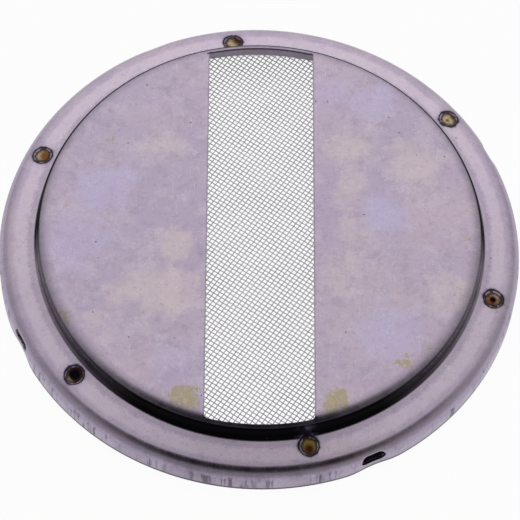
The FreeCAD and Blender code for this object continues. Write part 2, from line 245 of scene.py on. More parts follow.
# %% Give the skin its thickness
wall = cover.modifiers.new("sheet", "SOLIDIFY")
wall.thickness = SHEET * MM
wall.offset = -1
wall.use_even_offset = True
apply_all(cover)
report(cover)

# %% [markdown]
# ## Punches for the window, the slots and the weld marks
#
# A stamped opening is made by a punch, and it is modelled the same way: each punch is a
# small solid, and one boolean lets them all cut at once. The window has straight sides and
# ends that follow the pan. A slot is a bar with rounded ends. A welding electrode leaves a
# shallow dish square to the flange.

# %% Window punch
WINDOW_WIDTH = 20.3
WINDOW_END = 41.4
PUNCH_DEPTH = 6.0
start()
bpy.ops.mesh.primitive_cylinder_add(
    vertices=TURN_STEPS, radius=WINDOW_END * MM, depth=PUNCH_DEPTH * MM,
    location=(0, 0, PAN_TOP * MM),
)
punch = bpy.context.object
punch.name = "punches"
bpy.ops.object.transform_apply(location=True, rotation=True, scale=True)
bpy.ops.object.mode_set(mode="EDIT")
for side in (-1, 1):
    bpy.ops.mesh.select_all(action="SELECT")
    bpy.ops.mesh.bisect(
        plane_co=(side * WINDOW_WIDTH / 2 * MM, 0, 0), plane_no=(side, 0, 0),
        use_fill=True, clear_outer=True,
    )
bpy.ops.object.mode_set(mode="OBJECT")
report(punch)

# %% Slot punches: one bar, spun into four
SLOT_LENGTH = 4.9
SLOT_HEIGHT = 2.6
SLOT_LEVEL = 3.1
BAR_MIDDLE = 49.0
BAR_LENGTH = 6.0
ROUND_END = 0.495 * SLOT_HEIGHT
start()
bpy.ops.mesh.primitive_cube_add(size=MM, location=(BAR_MIDDLE * MM, 0, SLOT_LEVEL * MM))
bar = bpy.context.object
bar.scale = (BAR_LENGTH, SLOT_LENGTH, SLOT_HEIGHT)
bpy.ops.object.transform_apply(location=True, rotation=True, scale=True)
pick(bar, "edges", lambda e: abs(
    bar.data.vertices[e.vertices[0]].co.x - bar.data.vertices[e.vertices[1]].co.x) > MM)
bpy.ops.mesh.bevel(offset=ROUND_END * MM, segments=7, affect="EDGES")
bpy.ops.mesh.select_all(action="SELECT")
bpy.ops.transform.rotate(
    value=-math.radians(SLOT_AZIMUTH), orient_axis="Z", center_override=(0, 0, 0)
)
bpy.ops.mesh.spin(
    steps=3, dupli=True, angle=math.radians(270), center=(0, 0, 0), axis=(0, 0, 1)
)
bpy.ops.object.mode_set(mode="OBJECT")
first = max(v.co.x for v in bar.data.vertices)
print("slots:", len(bar.data.vertices) // 4, "vertices each, x reach", round(first / MM, 2))

# %% Electrode punches, placed one by one as the welds are: azimuth and distance from the axis
MARK_RADIUS = 2.05
MARK_FLOOR = 1.4
MARK_DEPTH = 0.24
MARK_SIDES = 44
DISH_RISE = 0.3
WELDS = ((97, 45.6), (156.7, 46.1), (220.8, 45.5), (281.9, 44.7), (344.7, 46.0), (37.3, 46.5))
weld_places = []
dishes = []
for azimuth, distance in WELDS:
    turn = math.radians(azimuth)
    level = FLANGE_HEIGHT - (distance - PAN_RADIUS) * slope_run
    face = Vector((distance * math.cos(turn), distance * math.sin(turn), level))
    tilt = Matrix.Rotation(turn, 3, "Z") @ Matrix.Rotation(FLANGE_SLOPE, 3, "Y")
    up = tilt @ Vector((0, 0, 1))
    weld_places.append(face)
    start()
    bpy.ops.mesh.primitive_cone_add(
        vertices=MARK_SIDES, radius1=MARK_FLOOR * MM, radius2=MARK_RADIUS * MM,
        depth=MARK_DEPTH * MM, location=(face - up * MARK_DEPTH / 2) * MM,
        rotation=(0, FLANGE_SLOPE, turn),
    )
    dish = bpy.context.object
    bpy.ops.object.transform_apply(location=True, rotation=True, scale=True)
    pick(dish, "polygons", lambda p: len(p.vertices) > 4 and p.normal.dot(up) > 0.9)
    bpy.ops.mesh.extrude_region_move(TRANSFORM_OT_translate={"value": up * DISH_RISE * MM})
    bpy.ops.object.mode_set(mode="OBJECT")
    dishes.append(dish)
print("weld marks:", len(dishes))

# %% Cut with all the punches at once
start()
for piece in [bar] + dishes:
    piece.select_set(True)
punch.select_set(True)
bpy.context.view_layer.objects.active = punch
bpy.ops.object.join()
stamp = cover.modifiers.new("stamp", "BOOLEAN")
stamp.operation = "DIFFERENCE"
stamp.solver = "EXACT"
stamp.object = punch
apply_all(cover)
bpy.data.objects.remove(punch)
report(cover)

# %% [markdown]
# ## Soft edges
#
# A punched edge is never a knife edge: it catches a thin line of light. First the flat
# faces are joined, so that nothing lies in the way, and then a narrow bevel runs along every
# edge sharper than 50 degrees. Weighted normals keep the large faces flat beside it.

# %% Join flat faces, bevel the punched edges, smooth the rest
EDGE_WIDTH = 0.08
FLAT_WITHIN = math.radians(0.05)
PUNCHED_ABOVE = math.radians(50)
SMOOTH_BELOW = math.radians(32)
bpy.ops.object.mode_set(mode="EDIT")
bpy.ops.mesh.select_all(action="SELECT")
bpy.ops.mesh.dissolve_limited(angle_limit=FLAT_WITHIN)
bpy.ops.object.mode_set(mode="OBJECT")
soft = cover.modifiers.new("edges", "BEVEL")
soft.width = EDGE_WIDTH * MM
soft.segments = 2
soft.limit_method = "ANGLE"
soft.angle_limit = PUNCHED_ABOVE
soft.use_clamp_overlap = False
apply_all(cover)
bpy.ops.object.shade_smooth_by_angle(angle=SMOOTH_BELOW)
even = cover.modifiers.new("even", "WEIGHTED_NORMAL")
even.keep_sharp = True
apply_all(cover)
report(cover)

# %% [markdown]
# ## Marking the sheared faces
#
# A punch shears the sheet and leaves a torn, darker face, so these faces get their own
# colour later. The metal inside each opening's outline has gone, and so every face that now
# lies within an outline must be a sheared one. That makes them easy to find by place. Their
# dark colour is part torn steel and part painted shade: the slot that lies furthest to the
# front gets it in full, as painted shade that makes it black. The others get less of the colour.

# %% Store the sheared faces as an attribute
sheared = cover.data.attributes.new("sheared", "FLOAT", "FACE")
SLACK = 0.01
PAN_ABOVE = 8.0
# Painted shade: the slot nearer the front than this gets the full dark colour on its cut faces.
SHADED_SLOT_BEFORE = -40.0
LESS_SHADED_SHEAR = 0.3
sheared_count = 0
for face in cover.data.polygons:
    x, y, z = face.center / MM
    radius = math.hypot(x, y)
    beside_slot = (math.degrees(math.atan2(y, x)) - SLOT_AZIMUTH + 45) % 90 - 45
    along = radius * math.sin(math.radians(beside_slot))
    in_width = abs(x) < WINDOW_WIDTH / 2 + SLACK
    in_window = z > PAN_ABOVE and in_width and radius < WINDOW_END + SLACK
    past_end = max(abs(along) - (SLOT_LENGTH - SLOT_HEIGHT) / 2, 0)
    in_slot = math.hypot(past_end, z - SLOT_LEVEL) < SLOT_HEIGHT / 2 + SLACK
    if in_window or in_slot:
        less_shaded_slot = in_slot and y > SHADED_SLOT_BEFORE
        sheared.data[face.index].value = LESS_SHADED_SHEAR if less_shaded_slot else 1.0
        sheared_count += 1
print("sheared faces:", sheared_count)

# %% [markdown]
# ## A map of distances from the welds
#
# The heat of a spot weld colours the steel round it in rings. A pattern in rings needs to
# know how far each point is from its weld, so the cover gets a UV map that holds just that:
# the way from the nearest weld, in millimetres across and outwards.

# %% Write the weld map
weld_map = cover.data.uv_layers.new(name="weld_map")
for face in cover.data.polygons:
    place = min(weld_places, key=lambda spot: (face.center / MM - spot).length)
    out = Vector((place.x, place.y, 0)).normalized()
    side = Vector((-out.y, out.x, 0))
    for corner in face.loop_indices:
        way = cover.data.vertices[cover.data.loops[corner].vertex_index].co / MM - place
        weld_map.data[corner].uv = (way.dot(side), way.dot(out))
print("weld map covers", len(weld_map.data), "face corners")

# %% [markdown]
# ## Woven wire cloth
#
# In a plain weave each wire goes over one crossing wire and under the next. One period of
# one wire is modelled as a thin five-sided tube and waved by moving its rings up and down.
# Its neighbour is the same wire, one crossing further on. Two array modifiers repeat the
# pair over the whole disc. The second set of wires is the same work at a right angle, half a
# period later, so that it passes under where the first passes over.


# %% Sizes of the cloth
WIRE = 0.2
CLOTH_LEVEL = 5.17
CLOTH_RADIUS = 46.9
CLOTH_TURN = -33.6
FLAT_RADIUS = 43.7
MARGIN_BAND = 0.55
WIRE_LIFT = WIRE / 2 + 0.003
print("cloth, mm: wire", WIRE, "level", CLOTH_LEVEL, "radius", CLOTH_RADIUS)


# %% Repeat a pair of wires over the disc
def spread(wires, along, apart, shift):
    """Repeats the pair of wires both ways and moves the sheet over the axis."""
    count_along = 2 * math.ceil(CLOTH_RADIUS / along / 2) + 2
    count_apart = 2 * math.ceil(CLOTH_RADIUS / apart / 2) + 2
    for count, step in ((count_along, (2 * along, 0, 0)), (count_apart, (0, 2 * apart, 0))):
        rows = wires.modifiers.new("rows", "ARRAY")
        rows.count = count
        rows.use_relative_offset = False
        rows.use_constant_offset = True
        rows.constant_offset_displace = Vector(step) * MM
        rows.use_merge_vertices = step[0] > 0
        rows.merge_threshold = MERGE_GAP * MM
    apply_all(wires)
    bpy.ops.object.mode_set(mode="EDIT")
    bpy.ops.mesh.select_all(action="SELECT")
    back = (shift * along - count_along * along, -count_apart * apart, CLOTH_LEVEL)
    bpy.ops.transform.translate(value=Vector(back) * MM)
    print(wires.name, "repeats:", count_along, "by", count_apart)


print("cloth tool: spread, for pairs over", 2 * CLOTH_RADIUS, "mm")


# %% Trim the disc and bend its margin
def trim(wires, apart):
    """Cuts the wires off at the edge of the disc and closes their ends."""
    def outside(vertex):
        row = round(vertex.co.y / MM / apart) * apart
        return math.hypot(vertex.co.x / MM, row) > CLOTH_RADIUS
    pick(wires, "vertices", outside)
    bpy.ops.mesh.delete(type="VERT")
    bpy.ops.mesh.select_all(action="SELECT")
    bpy.ops.mesh.fill_holes(sides=5)


def bend_margin(wires):
    """Lowers the margin band by band, so that it follows the slope of the flange."""
    radius = FLAT_RADIUS
    while radius < CLOTH_RADIUS:
        limit = radius * MM
        pick(wires, "vertices", lambda v: v.co.x ** 2 + v.co.y ** 2 > limit ** 2)
        bpy.ops.transform.translate(value=(0, 0, -MARGIN_BAND * slope_run * MM))
        radius += MARGIN_BAND


print("margin bands:", math.ceil((CLOTH_RADIUS - FLAT_RADIUS) / MARGIN_BAND))


# %% Wires of one direction
def weave(name, along, apart, turn, shift):
    """A disc of waved wires: crossings along each wire, the step between wires, a turn."""
    start()
    bpy.ops.mesh.primitive_cylinder_add(
        vertices=5, radius=WIRE / 2 * MM, depth=2 * along * MM,
        end_fill_type="NOTHING", rotation=(0, math.pi / 2, 0),
    )
    wires = bpy.context.object
    wires.name = name
    bpy.ops.object.transform_apply(location=True, rotation=True, scale=True)
    corners = wires.data.vertices
    pick(wires, "edges", lambda e: abs(
        corners[e.vertices[0]].co.x - corners[e.vertices[1]].co.x) > along * MM)
    bpy.ops.mesh.subdivide(number_cuts=3)
    for place, lift in ((0, 1), (along, -1), (-along, -1)):
        pick(wires, "vertices", lambda v: abs(v.co.x - place * MM) < 0.1 * along * MM)
        bpy.ops.transform.translate(value=(0, 0, lift * WIRE_LIFT * MM))
    bpy.ops.mesh.select_all(action="SELECT")
    bpy.ops.mesh.duplicate_move(
        TRANSFORM_OT_translate={"value": (along * MM, apart * MM, 0)}
    )
    bpy.ops.object.mode_set(mode="OBJECT")
    spread(wires, along, apart, shift)
    trim(wires, apart)
    bpy.ops.mesh.select_all(action="SELECT")
    bpy.ops.transform.rotate(
        value=-math.radians(turn), orient_axis="Z", center_override=(0, 0, 0)
    )
    bend_margin(wires)
    bpy.ops.object.mode_set(mode="OBJECT")
    bpy.ops.object.shade_smooth()
    report(wires)
    return wires


print("each wire swings, mm:", 2 * WIRE_LIFT)

# %% Weave both sets
WARP_PITCH = 0.80
WEFT_PITCH = 0.88
warp = weave("screen_warp", WEFT_PITCH, WARP_PITCH, CLOTH_TURN, 0)
weft = weave("screen_weft", WARP_PITCH, WEFT_PITCH, CLOTH_TURN + 90, 1)
print("wires, about:", round(2 * CLOTH_RADIUS / WARP_PITCH + 2 * CLOTH_RADIUS / WEFT_PITCH))

# %% [markdown]
# ## Materials
#
# Colours are written as sRGB hex, as they are read off a photograph, and one function turns
# them to the linear values that the shader wants. One more function adds a node.


# %% Colour and node helpers
def linear(text):
    """Turns an sRGB hex colour to linear red, green, blue and full alpha."""
    channels = [int(text[i:i + 2], 16) / 255 for i in (1, 3, 5)]
    return [c / 12.92 if c < 0.04045 else ((c + 0.055) / 1.055) ** 2.4 for c in channels] + [1]


def add(tree, kind, inputs=None, stops=None, **settings):
    """Adds a node: sockets given as inputs are linked, colours and numbers are set."""
    node = tree.nodes.new("ShaderNode" + kind)
    for name, value in settings.items():
        setattr(node, name, value)
    for name, value in (inputs or {}).items():
        socket = node.inputs[name]
        if isinstance(value, bpy.types.NodeSocket):
            tree.links.new(value, socket)
        else:
            socket.default_value = linear(value) if isinstance(value, str) else value
    for i, (position, value) in enumerate(stops or ()):
        points = node.color_ramp.elements
        point = points[i] if i < 1 else points.new(position)
        point.position = position
        point.color = linear(value) if isinstance(value, str) else (value, value, value, 1)
    if stops:
        node.color_ramp.elements.remove(node.color_ramp.elements[-1])
    return node


def new_material(name, **values):
    """A material with its principled shader, whose own sockets take the plain values."""
    material = bpy.data.materials.new(name)
    material.use_nodes = True
    shader = material.node_tree.nodes["Principled BSDF"]
    for socket, value in values.items():
        shader.inputs[socket.replace("_", " ")].default_value = value
    return material, material.node_tree, shader


print("black is", linear("#000000")[:3], "and white is", linear("#ffffff")[:3])

# %% [markdown]
# ## Cold-rolled steel that has been pressed, oiled and stored
#
# The real sheet is plain carbon steel with a thin lavender-grey oxide. It is semi-gloss, so
# it shows broad soft reflections and no sharp ones. Oil films and fingerprints have left
# bluish, straw and olive clouds. Black painted shade lies along the wall and foot of the pan,
# strongest at the front. The patches are given in the object's own coordinates, so they stay in
# every view.

# %% Patches of oxide and oil, as x, y, z, radius in millimetres and strength
STRAW = (
    (29.8, 14.7, 10, 8.5, 0.9), (16.3, 17.8, 10, 7, 0.7), (17.2, 8.8, 10, 7, 0.65),
    (17.4, -1.2, 10, 7, 0.5), (-16.2, -4.0, 10, 6, 0.9), (-17.9, -13.8, 10, 8.5, 0.95),
    (-24.5, -13.9, 10, 7, 0.8), (-13.2, -11.5, 10, 6, 0.7), (16.9, -9.9, 10, 9, 0.35),
    (-30.7, -21.5, 10, 6, 0.5), (-19.5, 18.3, 10, 8, 0.4), (36, -14, 10, 7, 0.6),
)
SKY = (
    (-30.7, 7.9, 10, 8, 1.0), (-35.1, -3.3, 10, 9, 0.75), (23.8, 4.0, 10, 7.5, 0.95),
    (22.3, 29.4, 10, 8, 0.8), (13.5, 31.1, 10, 7, 0.6), (23.3, -22.6, 10, 10, 0.8),
    (-16.2, -29.6, 10, 7, 0.5), (-35.8, -9.8, 10, 6, 0.5), (-26.0, 10.7, 10, 6, 0.7),
)
OLIVE = (
    (-29.7, 18.1, 10.1, 3.2, 0.45), (21.4, 32.7, 10.1, 3.2, 0.5), (26.9, -28.2, 9.8, 3.6, 0.75),
    (14.4, -36.3, 10.0, 4.2, 0.95), (-13.6, -36.6, 10.0, 4.6, 0.95), (-18.7, -35.5, 9.8, 3, 0.5),
    (-35.8, -19.9, 9.8, 2.6, 0.6), (31.7, -24.6, 9.8, 3.2, 0.55), (39.9, -1.9, 9.8, 2.8, 0.6),
    (36.7, -12.8, 9.8, 3, 0.4), (33.5, 31.5, 4.6, 2.2, 0.5), (47.5, -13.4, 4.8, 2.8, 0.5),
    (-3.5, -47.5, 5.2, 3.4, 0.45),
)
SMUDGE = (
    (-12, -48.5, 2.5, 9, 0.9), (-3, -49.9, 2.5, 7, 0.7), (-24, -43.9, 2.5, 6, 0.5),
    (10, -49, 2.5, 7, 0.5), (24, -43.9, 2.5, 6, 0.3),
)


def soft_spots(tree, place, spots):
    """The strongest of several soft round spots at each point."""
    total = 0.0
    for x, y, z, radius, strength in spots:
        gap = add(tree, "VectorMath", {0: place, 1: Vector((x, y, z)) * MM}, operation="DISTANCE")
        spot = add(
            tree, "MapRange",
            {"Value": gap.outputs["Value"], "From Min": 0.25 * radius * MM,
             "From Max": radius * MM, "To Min": strength, "To Max": 0.0},
            interpolation_type="SMOOTHSTEP",
        )
        total = add(tree, "Math", {0: total, 1: spot.outputs[0]}, operation="MAXIMUM").outputs[0]
    return total


print("patches:", len(STRAW) + len(SKY) + len(OLIVE) + len(SMUDGE))

# %% Steel sheet: its own coordinates, and noise fields named by what they do
steel, tree, skin = new_material("stamped_steel_sheet", Metallic=1.0)
place = add(tree, "TexCoord").outputs["Object"]
parts = add(tree, "SeparateXYZ", {0: place}).outputs
flat_place = add(tree, "VectorMath", {0: place, 1: (1, 1, 0)}, operation="MULTIPLY").outputs[0]
radius = add(tree, "VectorMath", {0: flat_place}, operation="LENGTH").outputs["Value"]
drawn = add(tree, "VectorMath", {0: place, 1: (1, 1, 0.08)}, operation="MULTIPLY").outputs[0]
wiped = add(
    tree, "Mapping", {"Vector": place, "Rotation": (0, 0, 0.6), "Scale": (1, 0.08, 1)}
).outputs[0]
# Each noise field: name, coordinates, size of its lumps in millimetres, detail, roughness
FIELDS = (
    ("drift", place, 7, 4, 0.65),
    ("broad", place, 18, 4, 0.6),
    ("blotch", place, 5, 6, 0.7),
    ("cloud", place, 2.2, 5, 0.65),
    ("speckle", place, 1.0, 5, 0.75),
    ("grain", place, 0.45, 3, 0.7),
    ("stroke", drawn, 0.8, 2, 0.5),
    ("stroke_group", flat_place, 6, 2, 0.5),
    ("wipe", wiped, 0.45, 1, 0.5),
    ("sway", place, 22, 2, 0.5),
    ("wobble", place, 1.5, 3, 0.6),
)
field = {}
for name, vector, size, detail, roughness in FIELDS:
    field[name] = add(tree, "TexNoise", {
        "Vector": vector, "Scale": 1 / (size * MM), "Detail": detail, "Roughness": roughness,
    }).outputs
swing = Vector((9, 9, 9)) * MM
moved = add(
    tree, "VectorMath", {0: field["drift"][1], 1: swing, 2: place}, operation="MULTIPLY_ADD"
).outputs[0]
wander = add(
    tree, "VectorMath", {0: moved, 1: swing / 2}, operation="SUBTRACT"
).outputs[0]
print("noise fields:", ", ".join(field))

# %% [markdown]
# ### Masks
#
# A mask is a value from 0 to 1 that says where a layer of colour lies. Most of them are a
# noise field pushed through a colour ramp, which sets how much of the surface it takes. The
# marks of drawing run down the rim, and tiny specks are rare Voronoi cells. Painted shade on
# the pan's shoulder, wall and foot and at the bottom of the rim, a film and a worn band follow
# the pressed shape, so their masks go by the distance from the axis and by the height. Two
# masks are multiplied where a layer lies only where both say so.

# %% Steel sheet: masks from noise
MASKS = (
    ("pink", "broad", 0.44, 0.68),
    ("haze", "blotch", 0.48, 0.70),
    ("shade", "cloud", 0.50, 0.72),
    ("fleck", "speckle", 0.54, 0.72),
    ("patchy", "blotch", 0.36, 0.60),
    ("broken", "grain", 0.30, 0.62),
    ("light_grain", "grain", 0.52, 0.74),
    ("crescent", "wobble", 0.47, 0.60),
    ("strokes", "stroke", 0.50, 0.61),
    ("groups", "stroke_group", 0.40, 0.54),
    ("wipes", "wipe", 0.70, 0.78),
)
mask = {}
for name, source, start_at, full_at in MASKS:
    mask[name] = add(
        tree, "ValToRGB", {0: field[source][0]}, [(start_at, 0.0), (full_at, 1.0)]
    ).outputs[0]
print("masks from noise:", ", ".join(mask))

# %% Steel sheet: specks, one in a few cells of a Voronoi pattern
SPECK_APART = 1.7
RARE_ABOVE = 0.84
cells = add(
    tree, "TexVoronoi", {"Vector": place, "Scale": 1 / (SPECK_APART * MM)},
    voronoi_dimensions="3D",
)
rare = add(
    tree, "Math", {0: cells.outputs["Color"], 1: RARE_ABOVE}, operation="GREATER_THAN"
)
small = add(tree, "MapRange", {
    "Value": cells.outputs["Distance"], "From Min": 0.06, "From Max": 0.13, "To Min": 1.0,
    "To Max": 0.0,
})
mask["specks"] = add(
    tree, "Math", {0: rare.outputs[0], 1: small.outputs[0]}, operation="MULTIPLY"
).outputs[0]
print("specks about", SPECK_APART, "mm apart at the least")

# %% Steel sheet: masks from the distance to the axis, in steps of millimetres
BANDS = (
    ("skirt", ((48.9, 0.0), (49.5, 1.0))),
    # painted shade: darker towards the edge of the pan's rounded shoulder
    ("shoulder_painted_shade", ((39.7, 0.0), (41.2, 0.55), (42.1, 1.0), (42.5, 1.0), (42.7, 0.0))),
    # painted shade: black along the pan's wall and foot
    ("wall_painted_shade", ((41.9, 0.0), (42.2, 1.0), (43.0, 1.0), (43.25, 0.0))),
    # painted shade: a darker band on the flange at the foot of the pan
    ("foot_painted_shade", ((42.8, 0.0), (43.1, 1.0), (44.1, 1.0), (44.5, 0.0))),
    ("worn_band", ((44.4, 0.0), (44.9, 1.0), (46.6, 1.0), (47.2, 0.0))),
    ("outer_film", ((47.0, 0.0), (47.6, 0.8), (49.0, 1.0), (49.6, 0.0))),
    ("pan_flat", ((39.0, 1.0), (41.2, 1.0), (41.5, 0.0))),
)
INNERMOST = 39.0
OUTERMOST = 50.2
across = add(tree, "MapRange", {
    "Value": radius, "From Min": INNERMOST * MM, "From Max": OUTERMOST * MM,
}).outputs[0]
uneven_edge = add(tree, "Math", {0: across, 1: 0.1}, operation="SUBTRACT").outputs[0]
for name in ("wobble", "grain"):
    uneven_edge = add(
        tree, "Math", {0: field[name][0], 1: 0.1, 2: uneven_edge}, operation="MULTIPLY_ADD"
    ).outputs[0]
for name, steps in BANDS:
    exact = name in ("skirt", "wall_painted_shade", "pan_flat")
    mask[name] = add(tree, "ValToRGB", {0: across if exact else uneven_edge}, [
        ((distance - INNERMOST) / (OUTERMOST - INNERMOST), amount) for distance, amount in steps
    ]).outputs[0]
print("bands:", len(BANDS))

# %% Steel sheet: masks from the height and from the way along the window, in millimetres
HEIGHTS = (
    ("mark_height", ((0.4, 0.0), (0.9, 1.0), (3.2, 1.0), (4.2, 0.0))),
    ("pan_height", ((8.3, 0.0), (8.6, 1.0))),
    ("wall_height", ((5.9, 0.0), (6.0, 1.0), (9.5, 1.0), (9.7, 0.0))),
    # painted shade: the bottom of the rim, where it meets the table, is darkened
    ("rim_bottom_painted_shade", ((0.0, 1.0), (0.5, 1.0), (0.8, 0.0))),
)
upwards = add(tree, "MapRange", {"Value": parts["Z"], "From Max": PAN_TOP * MM}).outputs[0]
for name, steps in HEIGHTS:
    stops = [(height / PAN_TOP, amount) for height, amount in steps]
    mask[name] = add(tree, "ValToRGB", {0: upwards}, stops).outputs[0]
# Painted shade on the pan's wall: strongest at the front, thinning out towards the back
NEAR_SIDE = ((-40, 1.0), (-36, 1.0), (-30, 0.85), (-21, 0.6), (-7, 0.48), (0, 0.42))
along = add(tree, "MapRange", {
    "Value": parts["Y"], "From Min": NEAR_SIDE[0][0] * MM, "From Max": NEAR_SIDE[-1][0] * MM,
}).outputs[0]
mask["near_side"] = add(tree, "ValToRGB", {0: along}, [
    (1 - y / NEAR_SIDE[0][0], amount) for y, amount in NEAR_SIDE
]).outputs[0]
# The residue named in this print is the painted shade on the pan's wall.
print("heights:", len(HEIGHTS), "and residue that thins out towards the back")

# %% Steel sheet: a darker line beside the window, and masks multiplied by each other
EDGE_LINE_FROM = 10.25
EDGE_LINE_TO = 10.45
from_middle = add(tree, "Math", {0: parts["X"]}, operation="ABSOLUTE").outputs[0]
mask["window_edge_darkening"] = add(tree, "MapRange", {
    "Value": from_middle, "From Min": EDGE_LINE_FROM * MM, "From Max": EDGE_LINE_TO * MM, "To Min": 1.0,
    "To Max": 0.0,
}).outputs[0]
PRODUCTS = (
    ("window_edge_darkening", "window_edge_darkening", "pan_flat"),
    ("draw_marks", "strokes", "groups"),
    ("skirt_marks", "draw_marks", "mark_height"),
    ("skirt_marks", "skirt_marks", "skirt"),
    ("shoulder_painted_shade", "shoulder_painted_shade", "pan_height"),
    ("wall_painted_shade", "wall_painted_shade", "wall_height"),
    ("wall_painted_shade", "wall_painted_shade", "near_side"),
    ("cloudy_light", "light_grain", "patchy"),
)
for name, one, other in PRODUCTS:
    mask[name] = add(tree, "Math", {0: mask[one], 1: mask[other]}, operation="MULTIPLY").outputs[0]
mask["sheared_and_shaded_edge"] = add(tree, "Attribute", attribute_name="sheared").outputs["Fac"]
print("all masks:", len(mask))

# %% Steel sheet: patches broken up by the clouds
# Each patch: name, spots, the noise that breaks it up, how much, and where the ramp runs
PATCHES = (
    ("straw", STRAW, "blotch", 2.2, 0.15, 1.15),
    ("sky", SKY, "blotch", 2.2, 0.15, 1.3),
    ("olive", OLIVE, "speckle", 2.6, 0.45, 0.75),
    ("smudge", SMUDGE, "cloud", 1.6, 0.1, 1.1),
)
for name, spots, breaker, amount, start_at, full_at in PATCHES:
    ragged = add(tree, "Math", {0: field[breaker][0], 1: 0.5}, operation="SUBTRACT").outputs[0]
    ragged = add(
        tree, "Math", {0: ragged, 1: amount, 2: soft_spots(tree, wander, spots)},
        operation="MULTIPLY_ADD",
    ).outputs[0]
    mask[name] = add(
        tree, "ValToRGB", {0: ragged}, [(start_at, 0.0), (full_at, 1.0)]
    ).outputs[0]
mask["smudge"] = add(
    tree, "Math", {0: mask["smudge"], 1: mask["skirt"]}, operation="MULTIPLY"
).outputs[0]
print("patch masks ready:", len(tree.nodes), "nodes")

# %% Steel sheet: layers of colour, each over the last
STEEL = "#aea0b5"
LAYERS = (
    ("pink", "#bcabb6", 0.75),
    ("haze", "#c1b6c3", 0.7),
    ("shade", "#988ca2", 0.6),
    ("straw", "#c7b8b9", 0.7),
    ("sky", "#b5abca", 0.75),
    ("olive", "#a0956f", 0.8),
    ("worn_band", "#c4b6c4", 0.65),
    # painted shade at the foot of the pan
    ("foot_painted_shade", "#968a9b", 0.4),
    ("outer_film", "#968a9c", 0.4),
    # painted shade on the pan's rounded shoulder
    ("shoulder_painted_shade", "#6d6575", 0.6),
    ("skirt", "#a79bb2", 0.8),
    ("fleck", "#8d8196", 0.45),
    ("smudge", "#6c6170", 0.5),
    ("cloudy_light", "#dbd0db", 0.4),
    ("wipes", "#d2c9d6", 0.25),
    ("skirt_marks", "#473d50", 0.8),
    # a darker line along the long sides of the window
    ("window_edge_darkening", "#7b6f85", 0.6),
    # painted shade along the bottom of the rim
    ("rim_bottom_painted_shade", "#2a2430", 0.85),
    # sheared faces: part torn steel, part painted shade, in full in the front slot
    ("sheared_and_shaded_edge", "#352e39", 0.9),
    # painted shade: black along the pan's wall and foot
    ("wall_painted_shade", "#0e0c10", 1.0),
    ("specks", "#3a3136", 0.8),
)
colour = STEEL
for name, shade, strength in LAYERS:
    amount = add(tree, "Math", {0: mask[name], 1: strength}, operation="MULTIPLY").outputs[0]
    colour = add(
        tree, "Mix", {0: amount, 6: colour, 7: shade}, data_type="RGBA"
    ).outputs[2]
print("colour layers:", len(LAYERS), "nodes:", len(tree.nodes))

# %% [markdown]
# ## Heat tint of the spot welds
#
# Steel that has been hot turns straw, brown, purple and blue-black in rings, in the order
# of the heat it saw, because the oxide film thickens. The electrode leaves a dark line round
# its edge, a clean slope inside it and an uneven scorched line round the floor. Each floor
# has its own colour, so those are placed weld by weld.

# %% Distance from the nearest weld, plain and uneven, in millimetres
way = add(tree, "UVMap", uv_map="weld_map").outputs[0]
reach = add(tree, "VectorMath", {0: way}, operation="LENGTH").outputs["Value"]
sway = add(tree, "Math", {0: field["wobble"][0], 1: 0.5}, operation="SUBTRACT").outputs[0]
RING_SPAN = 4.0
rings = {}
for name, unevenness in (("outline", 0.5), ("floor", 0.9)):
    uneven = add(tree, "Math", {0: sway, 1: unevenness, 2: reach}, operation="MULTIPLY_ADD")
    rings[name] = add(
        tree, "MapRange", {"Value": uneven.outputs[0], "From Min": 0.0, "From Max": RING_SPAN}
    ).outputs[0]
print("rings up to", RING_SPAN, "mm from each weld")

# %% Floor colours weld by weld: x, y, z, radius, strength under each colour
FLOOR_TONES = (
    ("#94803f", ((9.2, -43.6, 5.9, 2.2, 1.0),)),
    ("#b8a98f", (
        (37.0, 28.2, 5.5, 2.2, 1.0), (-5.8, 44.9, 5.6, 1.6, 1.0), (-43.2, 18.3, 5.5, 1.4, 1.1),
        (45.2, -11.3, 5.5, 1.1, 1.2), (-35.3, -30.7, 5.5, 1.4, 0.6),
    )),
    ("#855531", ((-41.8, 18.2, 5.5, 1.5, 1.0), (44.1, -12.4, 5.5, 1.6, 1.0))),
    ("#4c2a18", (
        (9.3, -44.3, 5.7, 1.4, 1.0), (36.8, 28.0, 5.5, 0.5, 0.8), (37.9, 28.9, 5.4, 0.9, 0.8),
        (-4.4, 46.1, 5.4, 1.8, 1.0), (-34.0, -30.5, 5.5, 1.3, 1.0), (-6.6, 44.2, 5.8, 0.9, 0.8),
        (44.2, -13.4, 5.7, 0.9, 0.7),
    )),
    ("#110d19", ((-34.2, -29.3, 5.6, 2.0, 1.7), (44.3, -12.2, 5.5, 0.9, 1.2))),
)
mottled = add(tree, "Math", {0: mask["broken"], 1: 0.5}, operation="MULTIPLY").outputs[0]
floor = add(tree, "Mix", {0: mottled, 6: "#9a8a72", 7: "#6a5544"}, data_type="RGBA").outputs[2]
for shade, spots in FLOOR_TONES:
    floor = add(
        tree, "Mix", {0: soft_spots(tree, place, spots), 6: floor, 7: shade}, data_type="RGBA"
    ).outputs[2]
floor = add(
    tree, "Mix", {0: mottled, 6: floor, 7: "#a9937c"}, data_type="RGBA", blend_type="MULTIPLY"
).outputs[2]
print("floor tones:", len(FLOOR_TONES))

